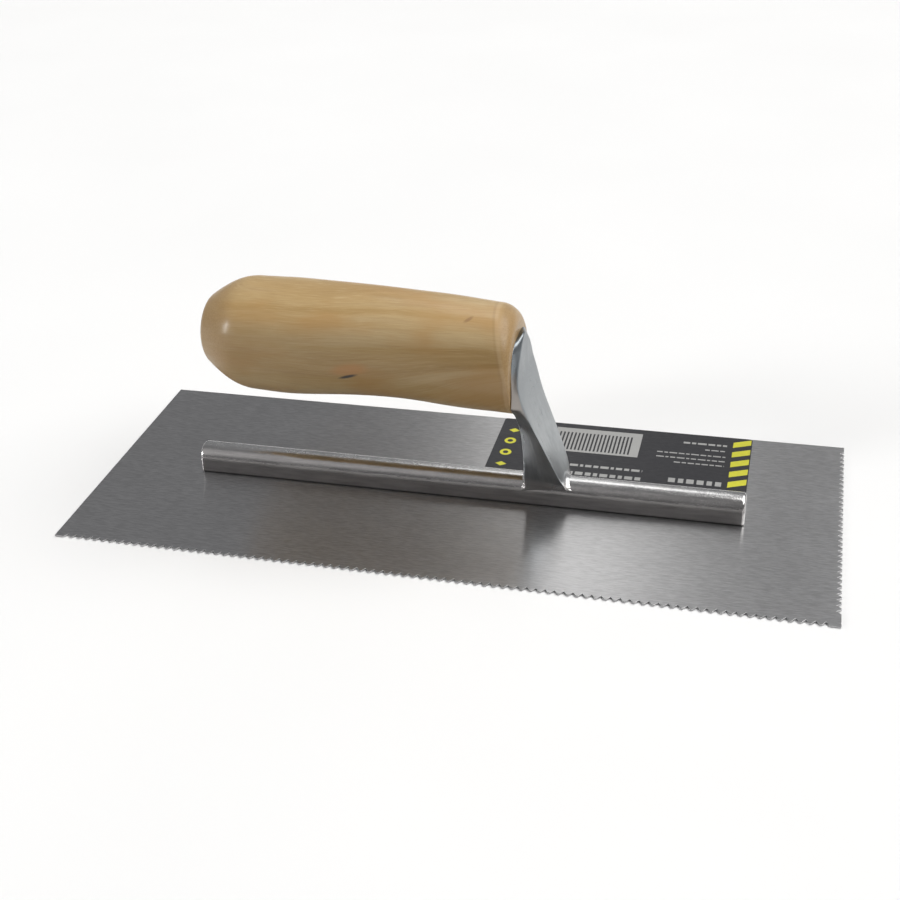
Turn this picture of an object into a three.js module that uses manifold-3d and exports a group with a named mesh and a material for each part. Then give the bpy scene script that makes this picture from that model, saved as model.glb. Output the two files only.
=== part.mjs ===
// Notched trowel: a notched steel blade riveted to a cast aluminium mounting, whose shank
// carries a turned wooden handle held by one long bolt.
// Millimetres. The origin is at the middle of the blade, on its underside. +X runs along the
// blade towards its short notched edge, +Y towards its long plain edge and +Z up to the handle.
import * as THREE from 'three';
import { mergeVertices } from 'three/addons/utils/BufferGeometryUtils.js';
import Module from 'manifold-3d';

const wasm = await Module();
wasm.setup();

// ---------------------------------------------------------------- driving dimensions

const INCH = 25.4;

const BLADE_LENGTH = 11 * INCH;
const BLADE_WIDTH = 4.5 * INCH;
const BLADE_THICKNESS = 0.6;
const NOTCH_PITCH = INCH / 8;
const NOTCH_DEPTH = INCH / 16;
const TOOTH_FLAT = 0.7; // width of each tooth's tip

const BAR_BACK_X = -103.4; // end of the mounting bar under the handle
const BAR_FRONT_X = 105.5;
const BAR_HALF_WIDTH = 5.4;
const BAR_SHOULDER_Z = 5.6; // where the bar's flat sides turn into its half-round top
const BAR_END_ROUND = 1.2;

const FLANGE_X = 23.2; // the upright face that the handle sits against
const FLANGE_THICKNESS = 2.2;
const FLANGE_TOP_Z = 67.8;

const HANDLE_LENGTH = 117.4;
const HANDLE_FRONT_Z = 58.05; // height of the handle's centre at the flange
const HANDLE_RISE = 0.029; // rise of the centre line for each millimetre behind the flange
const GRIP_BOW = 1.57; // how far the finger grip lifts the centre line above that straight line
const GRIP_MIDDLE = 47; // distance of the finger grip behind the flange
const HANDLE_FACE_RADIUS = 13.5; // the shoulder's inner edge where it is most rounded
const HANDLE_FRONT_RADIUS = 19.4; // its outer edge
const SHOULDER_LENGTH = 7.2;
const SHOULDER_TILT = THREE.MathUtils.degToRad(25); // from the top towards +Y to its fullest point
const SHOULDER_SHARE = { least: 0.05, middle: 0.437, swing: 0.563 }; // how it fades round the handle

const BOLT_RADIUS = 3.1;
const BOLT_HEAD_RADIUS = 5.4;
const BOLT_HEAD_HEIGHT = 3.6;
const BOLT_SLOT = { width: 1.3, depth: 1.6 };
const BOLT_TIP = 3; // distance of the bolt's tip behind the flange, inside the spigot
const WASHER = { inner: 3.5, outer: 7, thickness: 1.2 };
const COUNTERBORE = { radius: 7.6, depth: 13 };
const SPIGOT = { radius: 6, length: 16 }; // stub of the casting that enters the handle

const RIVET_COUNT = 7;
const RIVET_FIRST_X = -92;
const RIVET_LAST_X = 95;
const RIVET_RADIUS = 2;
const RIVET_HEAD_RADIUS = 2.6;
const RIVET_LENGTH = 7.5;

const LABEL = { backX: 5.1, frontX: 104.8, nearY: 8, thickness: 0.2, corner: 1.2 };

const FIT_GAP = 0.3; // all-round gap between pieces that pass through one another
const RIVET_GAP = 0.15;
const ROUND_SEGMENTS = 40;

// ---------------------------------------------------------------- helpers

// A closed geometry as a solid that can be joined and cut.
function solid(geometry) {
  const bare = geometry.index ? geometry.toNonIndexed() : geometry.clone();
  bare.deleteAttribute('normal');
  bare.deleteAttribute('uv');
  const merged = mergeVertices(bare, 1e-4);
  return new wasm.Manifold(new wasm.Mesh({
    numProp: 3,
    vertProperties: new Float32Array(merged.attributes.position.array),
    triVerts: new Uint32Array(merged.index.array),
  }));
}

function geometryOf(manifold) {
  const mesh = manifold.getMesh();
  const geometry = new THREE.BufferGeometry();
  geometry.setAttribute('position', new THREE.BufferAttribute(mesh.vertProperties, 3));
  geometry.setIndex(new THREE.BufferAttribute(mesh.triVerts, 1));
  geometry.computeVertexNormals();
  return geometry;
}

// A round solid about the Z axis from its (radius, height) outline.
function turned(points, segments = ROUND_SEGMENTS) {
  const outline = points.map(([radius, height]) => new THREE.Vector2(radius, height));
  return new THREE.LatheGeometry(outline, segments).rotateX(Math.PI / 2);
}

function cylinder(radius, low, high, segments = ROUND_SEGMENTS) {
  return turned([[0, low], [radius, low], [radius, high], [0, high]], segments);
}

// Lays a solid turned about Z along the handle's bolt: Z becomes the distance behind the flange.
function alongBolt(geometry) {
  const towardsRear = new THREE.Vector3(-1, 0, HANDLE_RISE).normalize();
  const turn = new THREE.Quaternion().setFromUnitVectors(new THREE.Vector3(0, 0, 1), towardsRear);
  return geometry.applyQuaternion(turn).translate(FLANGE_X, 0, HANDLE_FRONT_Z);
}

function block(low, high) {
  const size = high.map((value, axis) => value - low[axis]);
  const middle = high.map((value, axis) => (value + low[axis]) / 2);
  return new THREE.BoxGeometry(...size).translate(...middle);
}

const steel = new THREE.MeshStandardMaterial({ color: 0x8a8b8c, metalness: 1, roughness: 0.38 });
const aluminium = new THREE.MeshStandardMaterial({ color: 0xb9bcbd, metalness: 1, roughness: 0.32 });
const varnishedWood = new THREE.MeshStandardMaterial({ color: 0xb08d5c, metalness: 0, roughness: 0.45 });
const zincSteel = new THREE.MeshStandardMaterial({ color: 0xa7a9aa, metalness: 1, roughness: 0.3 });
const printedFilm = new THREE.MeshStandardMaterial({ color: 0x26262b, metalness: 0, roughness: 0.5 });

const trowel = new THREE.Group();

function add(name, geometry, material) {
  const mesh = new THREE.Mesh(geometry, material);
  mesh.name = name;
  trowel.add(mesh);
}

// ---------------------------------------------------------------- rivets

const rivetSpacing = (RIVET_LAST_X - RIVET_FIRST_X) / (RIVET_COUNT - 1);
const rivetPlaces = Array.from({ length: RIVET_COUNT }, (_, i) => RIVET_FIRST_X + i * rivetSpacing);

// A countersunk rivet, its head flush with the blade's underside, grown all round by gap.
function rivet(gap = 0) {
  return turned([
    [0, -gap],
    [RIVET_HEAD_RADIUS + gap, -gap],
    [RIVET_HEAD_RADIUS + gap, 0],
    [RIVET_RADIUS + gap, BLADE_THICKNESS],
    [RIVET_RADIUS + gap, RIVET_LENGTH + gap],
    [0, RIVET_LENGTH + gap],
  ], 24);
}

function cutRivetHoles(body) {
  return rivetPlaces.reduce((rest, x) => rest.subtract(solid(rivet(RIVET_GAP).translate(x, 0, 0))), body);
}

// ---------------------------------------------------------------- blade

// Cuts V notches into the outline along one edge that starts at from. The first and last
// stretches, each a whole number of pitches, are left solid so that the corners stay strong.
function notchEdge(outline, from, along, inward, pitches, solidFirst, solidLast) {
  const point = (distance, depth) => outline.lineTo(
    from.x + along.x * distance + inward.x * depth,
    from.y + along.y * distance + inward.y * depth,
  );
  for (let i = solidFirst; i < pitches - solidLast; i += 1) {
    const start = i * NOTCH_PITCH;
    point(start + TOOTH_FLAT / 2, 0);
    point(start + NOTCH_PITCH / 2, NOTCH_DEPTH);
    point(start + NOTCH_PITCH - TOOTH_FLAT / 2, 0);
  }
}

function blade() {
  const x = BLADE_LENGTH / 2;
  const y = BLADE_WIDTH / 2;
  const outline = new THREE.Shape();
  outline.moveTo(-x, -y);
  const longPitches = Math.round(BLADE_LENGTH / NOTCH_PITCH);
  notchEdge(outline, { x: -x, y: -y }, { x: 1, y: 0 }, { x: 0, y: 1 }, longPitches, 1, 1);
  outline.lineTo(x, -y);
  const shortPitches = Math.round(BLADE_WIDTH / NOTCH_PITCH);
  notchEdge(outline, { x, y: -y }, { x: 0, y: 1 }, { x: -1, y: 0 }, shortPitches, 2, 1);
  outline.lineTo(x, y);
  outline.lineTo(-x, y);
  outline.closePath();
  const plate = new THREE.ExtrudeGeometry(outline, { depth: BLADE_THICKNESS, bevelEnabled: false });
  return geometryOf(cutRivetHoles(solid(plate)));
}

// ---------------------------------------------------------------- mounting

// The bar: flat sides, a half-round top, rounded ends and a flat underside on the blade.
function bar() {
  const section = new THREE.Shape();
  section.moveTo(-BAR_HALF_WIDTH, -BAR_HALF_WIDTH);
  section.lineTo(BAR_HALF_WIDTH, -BAR_HALF_WIDTH);
  section.lineTo(BAR_HALF_WIDTH, BAR_SHOULDER_Z);
  section.absarc(0, BAR_SHOULDER_Z, BAR_HALF_WIDTH, 0, Math.PI, false);
  section.closePath();
  const length = BAR_FRONT_X - BAR_BACK_X;
  const rod = new THREE.ExtrudeGeometry(section, {
    depth: length - 2 * BAR_END_ROUND,
    curveSegments: 10,
    bevelThickness: BAR_END_ROUND,
    bevelSize: BAR_END_ROUND,
    bevelOffset: -BAR_END_ROUND,
    bevelSegments: 4,
  });
  rod.rotateX(Math.PI / 2).rotateZ(Math.PI / 2).translate(BAR_BACK_X + BAR_END_ROUND, 0, 0);
  const above = block([BAR_BACK_X - 1, -20, BLADE_THICKNESS], [BAR_FRONT_X + 1, 20, 40]);
  return solid(rod).intersect(solid(above));
}

// The shank's level sections from foot to crown. At each height it gives the rear face's
// distance forward of the flange face, the half width there, and the same for the front face.
const SHANK_SECTIONS = [
  { z: 5.0, rear: 2.4, rearHalf: 5.4, front: 19.4, frontHalf: 5.4 },
  { z: 10.0, rear: 2.2, rearHalf: 5.4, front: 17.7, frontHalf: 6.4 },
  { z: 18.0, rear: 2.1, rearHalf: 5.4, front: 14.7, frontHalf: 9.0 },
  { z: 26.0, rear: 1.7, rearHalf: 5.4, front: 11.7, frontHalf: 10.9 },
  { z: 32.0, rear: 0.9, rearHalf: 5.4, front: 9.3, frontHalf: 11.8 },
  { z: 35.5, rear: 0.0, rearHalf: 5.8, front: 7.9, frontHalf: 12.4 },
  { z: 40.0, rear: 0.0, rearHalf: 9.3, front: 6.3, frontHalf: 13.4 },
  { z: 44.0, rear: 0.0, rearHalf: 13.8, front: 5.0, frontHalf: 14.3 },
  { z: 45.6, rear: 0.0, rearHalf: 15.5, front: 4.5, frontHalf: 14.5 },
  { z: 48.0, rear: 0.0, rearHalf: 15.4, front: 3.8, frontHalf: 14.6 },
];

// Above the last section the flange is an upright plate. Its rear outline is a rounded arch and
// its front outline a narrower point, so the rim between them leans inward towards the top.
const SIDE_TAPER = 0.1; // share of the rear outline's width lost by its sides leaning in
const ARCH_SPRING = 0.3; // share of the plate's height below the start of the arch
const ARCH_TOP_SHARE = 0.985; // how much of the arch's width is gone at the very top, cubed
const POINT_TOP_SHARE = 0.95; // how much of the front outline's width is gone at the very top
const POINT_POWER = 2.2;
const THINNING_SHARE = 0.45; // share of the plate's height over which it thins to its own thickness

function flangeSections() {
  const waist = SHANK_SECTIONS[SHANK_SECTIONS.length - 1];
  const steps = 10;
  return Array.from({ length: steps }, (_, i) => {
    const rise = (i + 1) / steps;
    const archRise = Math.max(0, (rise - ARCH_SPRING) / (1 - ARCH_SPRING));
    const thickening = (1 - Math.min(1, rise / THINNING_SHARE)) ** 2;
    return {
      z: THREE.MathUtils.lerp(waist.z, FLANGE_TOP_Z, rise),
      rear: 0,
      rearHalf: waist.rearHalf * (1 - SIDE_TAPER * rise) * Math.cbrt(1 - ARCH_TOP_SHARE * archRise ** 3),
      front: THREE.MathUtils.lerp(FLANGE_THICKNESS, waist.front, thickening),
      frontHalf: waist.frontHalf * (1 - POINT_TOP_SHARE * rise ** POINT_POWER),
    };
  });
}

// One closed skin through a stack of four-cornered level sections.
function shank() {
  const sections = [...SHANK_SECTIONS, ...flangeSections()];
  const vertices = sections.flatMap(({ z, rear, rearHalf, front, frontHalf }) => [
    FLANGE_X + rear, -rearHalf, z,
    FLANGE_X + front, -frontHalf, z,
    FLANGE_X + front, frontHalf, z,
    FLANGE_X + rear, rearHalf, z,
  ]);
  const faces = [0, 2, 1, 0, 3, 2];
  for (let level = 0; level < sections.length - 1; level += 1) {
    for (let corner = 0; corner < 4; corner += 1) {
      const a = level * 4 + corner;
      const b = level * 4 + ((corner + 1) % 4);
      faces.push(a, b, b + 4, a, b + 4, a + 4);
    }
  }
  const top = (sections.length - 1) * 4;
  faces.push(top, top + 1, top + 2, top, top + 2, top + 3);
  const geometry = new THREE.BufferGeometry();
  geometry.setAttribute('position', new THREE.Float32BufferAttribute(vertices, 3));
  geometry.setIndex(faces);
  return solid(geometry);
}

function mounting() {
  const spigot = solid(alongBolt(cylinder(SPIGOT.radius, -1, SPIGOT.length)));
  const reach = SPIGOT.length + 5;
  const behindFlange = solid(block(
    [FLANGE_X - reach, -reach, HANDLE_FRONT_Z - reach],
    [FLANGE_X + 1, reach, HANDLE_FRONT_Z + reach],
  ));
  const boltHole = solid(alongBolt(cylinder(BOLT_RADIUS + FIT_GAP, BOLT_TIP - 1, reach)));
  const casting = bar().add(shank()).add(spigot.intersect(behindFlange)).subtract(boltHole);
  return geometryOf(cutRivetHoles(casting));
}

// ---------------------------------------------------------------- handle

// Height of the handle's centre at a distance behind the flange.
function handleCentre(distance) {
  const along = THREE.MathUtils.clamp((distance - GRIP_MIDDLE) / GRIP_MIDDLE, -1, 1);
  return HANDLE_FRONT_Z + HANDLE_RISE * distance + GRIP_BOW * (1 + Math.cos(Math.PI * along)) / 2;
}

// The handle's outline as (radius, distance behind the flange): the flat front face, a rounded
// shoulder, the finger grip, the full palm swell and a domed rear end.
function handleOutline() {
  const outline = new THREE.Path();
  outline.moveTo(0, 0);
  outline.lineTo(HANDLE_FACE_RADIUS, 0);
  outline.bezierCurveTo(15.8, 0.2, 19.2, 2.9, HANDLE_FRONT_RADIUS, SHOULDER_LENGTH);
  outline.splineThru([[19.8, 23], [19.65, 40], [20.2, 60], [21.2, 82], [20.9, 96]]
    .map(([radius, distance]) => new THREE.Vector2(radius, distance)));
  outline.bezierCurveTo(20.9, 102.5, 18.8, 107, 13.3, 114.2);
  outline.bezierCurveTo(11.5, 116.6, 7, HANDLE_LENGTH, 0, HANDLE_LENGTH);
  return outline.getPoints(6);
}

// How much of the shoulder's rounding there is in a direction round the handle. The shoulder was
// turned at a slant, so it fades from its fullest point to a slightly eased edge underneath.
function shoulderShare(y, z) {
  const level = y * Math.sin(SHOULDER_TILT) + z * Math.cos(SHOULDER_TILT);
  return Math.max(SHOULDER_SHARE.least, SHOULDER_SHARE.middle + SHOULDER_SHARE.swing * level);
}

// Moves a point of the round handle to where it lies on the real one.
function shaped(point) {
  const margin = 0.01;
  const distance = FLANGE_X - point.x;
  const radius = Math.hypot(point.y, point.z);
  if (radius > HANDLE_FACE_RADIUS - margin && distance < SHOULDER_LENGTH + margin) {
    const share = shoulderShare(point.y / radius, point.z / radius);
    const grown = HANDLE_FRONT_RADIUS - (HANDLE_FRONT_RADIUS - radius) * share;
    point.set(FLANGE_X - distance * share, point.y * grown / radius, point.z * grown / radius);
  }
  point.z += handleCentre(FLANGE_X - point.x);
  return point;
}

function handle() {
  const body = new THREE.LatheGeometry(handleOutline(), 56);
  body.rotateZ(Math.PI / 2).translate(FLANGE_X, 0, 0);
  const place = body.attributes.position;
  for (let i = 0; i < place.count; i += 1) {
    const { x, y, z } = shaped(new THREE.Vector3().fromBufferAttribute(place, i));
    place.setXYZ(i, x, y, z);
  }
  const bore = cylinder(WASHER.inner, -5, HANDLE_LENGTH + 5);
  const spigotHole = cylinder(SPIGOT.radius + FIT_GAP, -5, SPIGOT.length + 1);
  const counterbore = cylinder(COUNTERBORE.radius, HANDLE_LENGTH - COUNTERBORE.depth, HANDLE_LENGTH + 5);
  return geometryOf([bore, spigotHole, counterbore].reduce(
    (rest, hole) => rest.subtract(solid(alongBolt(hole))),
    solid(body),
  ));
}

// ---------------------------------------------------------------- handle bolt and washer

const washerSeat = HANDLE_LENGTH - COUNTERBORE.depth + FIT_GAP;
const boltSeat = washerSeat + WASHER.thickness + FIT_GAP;

function washer() {
  const { inner, outer, thickness } = WASHER;
  const far = washerSeat + thickness;
  const ring = [[inner, washerSeat], [outer, washerSeat], [outer, far], [inner, far], [inner, washerSeat]];
  return alongBolt(turned(ring));
}

// A slotted bolt with a slightly domed head.
function bolt() {
  const crown = boltSeat + BOLT_HEAD_HEIGHT;
  const body = solid(turned([
    [0, BOLT_TIP],
    [BOLT_RADIUS - 0.6, BOLT_TIP],
    [BOLT_RADIUS, BOLT_TIP + 0.8],
    [BOLT_RADIUS, boltSeat],
    [BOLT_HEAD_RADIUS, boltSeat],
    [BOLT_HEAD_RADIUS, crown - 1.3],
    [BOLT_HEAD_RADIUS - 0.9, crown - 0.4],
    [BOLT_HEAD_RADIUS - 2.6, crown],
    [0, crown],
  ]));
  const half = BOLT_SLOT.width / 2;
  const slot = solid(block([-half, -9, crown - BOLT_SLOT.depth], [half, 9, crown + 1]));
  return alongBolt(geometryOf(body.subtract(slot)));
}

// ---------------------------------------------------------------- label

function label() {
  const { backX, frontX, nearY, thickness, corner } = LABEL;
  const farY = BLADE_WIDTH / 2 - 0.3;
  const sheet = new THREE.Shape();
  sheet.moveTo(backX + corner, nearY);
  sheet.absarc(frontX - corner, nearY + corner, corner, -Math.PI / 2, 0, false);
  sheet.absarc(frontX - corner, farY - corner, corner, 0, Math.PI / 2, false);
  sheet.absarc(backX + corner, farY - corner, corner, Math.PI / 2, Math.PI, false);
  sheet.absarc(backX + corner, nearY + corner, corner, Math.PI, 1.5 * Math.PI, false);
  const film = new THREE.ExtrudeGeometry(sheet, { depth: thickness, curveSegments: 5, bevelEnabled: false });
  return film.translate(0, 0, BLADE_THICKNESS);
}

// ---------------------------------------------------------------- assembly

add('blade', blade(), steel);
add('mounting', mounting(), aluminium);
rivetPlaces.forEach((x, i) => add(`rivet_${i + 1}`, rivet().translate(x, 0, 0), zincSteel));
add('label', label(), printedFilm);
add('handle', handle(), varnishedWood);
add('handle_washer', washer(), zincSteel);
add('handle_bolt', bolt(), zincSteel);

export default trowel;
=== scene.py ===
import math

import bmesh
import bpy
from mathutils import Matrix, Vector


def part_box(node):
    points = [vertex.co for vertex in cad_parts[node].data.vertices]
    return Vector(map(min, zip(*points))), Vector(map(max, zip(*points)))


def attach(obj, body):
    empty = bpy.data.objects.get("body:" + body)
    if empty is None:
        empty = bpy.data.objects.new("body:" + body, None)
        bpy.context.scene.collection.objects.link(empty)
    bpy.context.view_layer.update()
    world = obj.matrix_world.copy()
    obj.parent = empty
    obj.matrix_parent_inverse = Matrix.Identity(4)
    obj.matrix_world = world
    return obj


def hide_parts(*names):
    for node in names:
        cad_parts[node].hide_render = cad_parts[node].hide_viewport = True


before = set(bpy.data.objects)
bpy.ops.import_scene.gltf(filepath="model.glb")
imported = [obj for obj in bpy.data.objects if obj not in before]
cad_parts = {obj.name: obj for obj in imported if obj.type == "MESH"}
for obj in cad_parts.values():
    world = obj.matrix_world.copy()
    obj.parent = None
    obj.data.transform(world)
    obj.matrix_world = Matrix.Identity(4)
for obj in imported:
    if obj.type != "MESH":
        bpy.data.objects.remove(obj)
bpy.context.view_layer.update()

MM = 0.001
INCH = 25.4

# ---------------------------------------------------------------- sizes

BLADE_THICKNESS = 0.6
NOTCH_PITCH = INCH / 8
NOTCH_DEPTH = INCH / 16
TOOTH_FLAT = 0.7
EDGE_BREAK = 0.08

BAR_HALF_WIDTH = 5.4
BAR_SHOULDER_Z = 5.6
BAR_END_ROUND = 1.3
FOOT_GROOVE = 0.45

FLANGE_X = 23.2

HANDLE_LENGTH = 117.4
HANDLE_FRONT_Z = 58.05
HANDLE_RISE = 0.029
GRIP_BOW = 1.57
GRIP_MIDDLE = 47
HANDLE_FACE_RADIUS = 13.5
HANDLE_FRONT_RADIUS = 19.4
SHOULDER_LENGTH = 7.2
SHOULDER_TILT = math.radians(25)
SHARE_LEAST = 0.05
SHARE_MIDDLE = 0.437
SHARE_SWING = 0.563

BOLT_RADIUS = 3.1
BOLT_HEAD_RADIUS = 5.4
BOLT_HEAD_HEIGHT = 3.6
BOLT_TIP = 3
BOLT_SLOT_WIDTH = 1.3
BOLT_SLOT_DEPTH = 1.6
WASHER_INNER = 3.5
WASHER_OUTER = 7
WASHER_THICKNESS = 1.2
COUNTERBORE_RADIUS = 7.6
COUNTERBORE_DEPTH = 13
SPIGOT_RADIUS = 6
SPIGOT_LENGTH = 16
FIT_GAP = 0.3

RIVET_RADIUS = 2
RIVET_HEAD_RADIUS = 2.6
RIVET_LENGTH = 7.5
RIVET_GAP = 0.15


def lerp(a, b, t):
    return a + (b - a) * t


def smoothstep(low, high, value):
    t = min(1.0, max(0.0, (value - low) / (high - low)))
    return t * t * (3 - 2 * t)


def node_box(name):
    low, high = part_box(name)
    return low / MM, high / MM


# ---------------------------------------------------------------- mesh helpers

def object_from(name, bm, smooth_angle=35):
    """A new object from a bmesh in millimetres, shaded smooth below the given angle."""
    bmesh.ops.scale(bm, vec=(MM, MM, MM), verts=bm.verts)
    bmesh.ops.recalc_face_normals(bm, faces=bm.faces)
    mesh = bpy.data.meshes.new(name)
    bm.to_mesh(mesh)
    bm.free()
    mesh.shade_smooth()
    mesh.set_sharp_from_angle(angle=math.radians(smooth_angle))
    obj = bpy.data.objects.new(name, mesh)
    bpy.context.scene.collection.objects.link(obj)
    return obj


def skin(bm, rings):
    """Quads between closed rings of equally many points, with a flat cap at both ends."""
    rows = [[bm.verts.new(point) for point in ring] for ring in rings]
    count = len(rows[0])
    for below, above in zip(rows, rows[1:]):
        for i in range(count):
            j = (i + 1) % count
            bm.faces.new((below[i], below[j], above[j], above[i]))
    bm.faces.new(list(reversed(rows[0])))
    bm.faces.new(rows[-1])


def turned(bm, profile, place, segments=64):
    """A closed turned body: profile is a list of (radius, distance), place maps to space."""
    rows = []
    for radius, distance in profile:
        if radius < 1e-6:
            rows.append([bm.verts.new(place(0, 0, distance))])
            continue
        angles = [2 * math.pi * i / segments for i in range(segments)]
        rows.append([
            bm.verts.new(place(radius * math.cos(a), radius * math.sin(a), distance)) for a in angles
        ])
    for first, second in zip(rows, rows[1:]):
        for i in range(segments):
            j = (i + 1) % segments
            corners = [first[i % len(first)], first[j % len(first)],
                       second[j % len(second)], second[i % len(second)]]
            unique = list(dict.fromkeys(corners))
            if len(unique) > 2:
                bm.faces.new(unique)


def bezier(start, first, second, end, steps):
    """Points of a cubic curve after its start, in two dimensions."""
    points = []
    for i in range(1, steps + 1):
        t = i / steps
        weights = ((1 - t) ** 3, 3 * t * (1 - t) ** 2, 3 * t * t * (1 - t), t ** 3)
        corners = (start, first, second, end)
        points.append(tuple(sum(w * c[k] for w, c in zip(weights, corners)) for k in range(2)))
    return points


def smooth_through(keys, position):
    """Value at a position on a smooth curve through sorted (position, value...) keys."""
    if position <= keys[0][0]:
        return list(keys[0][1:])
    if position >= keys[-1][0]:
        return list(keys[-1][1:])
    i = next(k for k in range(len(keys) - 1) if keys[k + 1][0] >= position)
    before, low, high, after = keys[max(0, i - 1)], keys[i], keys[i + 1], keys[min(len(keys) - 1, i + 2)]
    span = high[0] - low[0]
    t = (position - low[0]) / span
    values = []
    for k in range(1, len(low)):
        slope_low = (high[k] - before[k]) / (high[0] - before[0]) * span
        slope_high = (after[k] - low[k]) / (after[0] - low[0]) * span
        values.append(
            (2 * t ** 3 - 3 * t ** 2 + 1) * low[k] + (t ** 3 - 2 * t ** 2 + t) * slope_low
            + (3 * t ** 2 - 2 * t ** 3) * high[k] + (t ** 3 - t ** 2) * slope_high)
    return values


def along_bolt(x, y, distance):
    """Places a point turned about the handle's bolt, at a distance behind the flange."""
    back = Vector((-1, 0, HANDLE_RISE)).normalized()
    up = Vector((HANDLE_RISE, 0, 1)).normalized()
    start = Vector((FLANGE_X, 0, HANDLE_FRONT_Z))
    return start + back * distance + up * x + Vector((0, 1, 0)) * y


# ---------------------------------------------------------------- blade

def notched_edge(start, along, inward, pitches, solid_first, solid_last):
    points = []
    for i in range(solid_first, pitches - solid_last):
        begin = start + along * (i * NOTCH_PITCH)
        points.append(begin + along * (TOOTH_FLAT / 2))
        points.append(begin + along * (NOTCH_PITCH / 2) + inward * NOTCH_DEPTH)
        points.append(begin + along * (NOTCH_PITCH - TOOTH_FLAT / 2))
    return points


def blade_outline():
    low, high = node_box("blade")
    right, left, up = Vector((1, 0)), Vector((-1, 0)), Vector((0, 1))
    near_left = Vector((low.x, low.y))
    near_right = Vector((high.x, low.y))
    long_pitches = round((high.x - low.x) / NOTCH_PITCH)
    short_pitches = round((high.y - low.y) / NOTCH_PITCH)
    points = [near_left]
    points += notched_edge(near_left, right, up, long_pitches, 1, 1)
    points.append(near_right)
    points += notched_edge(near_right, up, left, short_pitches, 2, 1)
    points += [Vector((high.x, high.y)), Vector((low.x, high.y))]
    return points


def add_spline(curve, points):
    spline = curve.splines.new("POLY")
    spline.points.add(len(points) - 1)
    for place, point in zip(spline.points, points):
        place.co = (point[0] * MM, point[1] * MM, 0, 1)
    spline.use_cyclic_u = True


def plate_from(name, outlines, low_z, high_z, edge):
    """A flat plate with eased edges, filled between its outlines."""
    curve = bpy.data.curves.new(name, "CURVE")
    curve.dimensions = "2D"
    curve.fill_mode = "BOTH"
    curve.extrude = ((high_z - low_z) / 2 - edge) * MM
    curve.bevel_depth = edge * MM
    curve.bevel_resolution = 1
    curve.offset = -edge * MM
    for points in outlines:
        add_spline(curve, points)
    temporary = bpy.data.objects.new(name + "_outline", curve)
    mesh = bpy.data.meshes.new_from_object(temporary)
    mesh.transform(Matrix.Translation((0, 0, (low_z + high_z) / 2 * MM)))
    bpy.data.objects.remove(temporary)
    bm = bmesh.new()
    bm.from_mesh(mesh)
    bpy.data.meshes.remove(mesh)
    bmesh.ops.remove_doubles(bm, verts=bm.verts, dist=1e-6)
    bmesh.ops.scale(bm, vec=(1 / MM,) * 3, verts=bm.verts)
    return object_from(name, bm, smooth_angle=20)


def circle(centre_x, centre_y, radius):
    count = 40
    steps = [2 * math.pi * i / count for i in range(count)]
    return [(centre_x + radius * math.cos(a), centre_y + radius * math.sin(a)) for a in steps]


rivet_names = sorted(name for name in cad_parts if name.startswith("rivet_"))


def rivet_x(name):
    low, high = node_box(name)
    return (low.x + high.x) / 2


def make_blade():
    holes = [circle(rivet_x(name), 0, RIVET_HEAD_RADIUS + RIVET_GAP) for name in rivet_names]
    blade = plate_from("blade_plate", [blade_outline()] + holes, 0, BLADE_THICKNESS, EDGE_BREAK)
    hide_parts("blade")
    return blade


def make_rivet(name):
    """A countersunk rivet whose slightly dished head sits flush with the blade's underside."""
    centre = rivet_x(name)
    head = RIVET_HEAD_RADIUS
    profile = [
        (0, 0.12), (head * 0.45, 0.09), (head * 0.8, 0.02), (head - 0.12, 0), (head, 0.07),
        (head - 0.05, 0.2), (RIVET_RADIUS, BLADE_THICKNESS), (RIVET_RADIUS, RIVET_LENGTH), (0, RIVET_LENGTH),
    ]
    bm = bmesh.new()
    turned(bm, profile, lambda x, y, z: (centre + x, y, z), segments=40)
    rivet = object_from(name + "_detail", bm)
    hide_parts(name)
    return rivet


# ---------------------------------------------------------------- mounting

def bar_section(inset):
    """The bar's outline in the YZ plane, drawn in from its sides and top by inset."""
    half = BAR_HALF_WIDTH - inset
    foot = BLADE_THICKNESS
    steps = 28
    arch = [math.pi * i / steps for i in range(steps + 1)]
    points = [(half - FOOT_GROOVE, foot), (half, foot + FOOT_GROOVE)]
    points += [(half, lerp(foot, BAR_SHOULDER_Z, t)) for t in (0.25, 0.6)]
    points += [(half * math.cos(a), BAR_SHOULDER_Z + half * math.sin(a)) for a in arch]
    points += [(-half, lerp(foot, BAR_SHOULDER_Z, t)) for t in (0.6, 0.25)]
    points += [(-half, foot + FOOT_GROOVE), (-half + FOOT_GROOVE, foot)]
    return points


def make_bar(bm):
    low, high = node_box("mounting")
    steps = 8
    turns = [math.pi / 2 * i / steps for i in range(steps + 1)]
    stations = [(low.x + BAR_END_ROUND * (1 - math.cos(a)), BAR_END_ROUND * (1 - math.sin(a))) for a in turns]
    length_steps = 40
    begin, end = low.x + BAR_END_ROUND, high.x - BAR_END_ROUND
    stations += [(lerp(begin, end, i / length_steps), 0) for i in range(1, length_steps)]
    stations += [
        (high.x - BAR_END_ROUND * (1 - math.cos(a)), BAR_END_ROUND * (1 - math.sin(a)))
        for a in reversed(turns)
    ]
    skin(bm, [[(x, y, z) for y, z in bar_section(inset)] for x, inset in stations])


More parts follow.
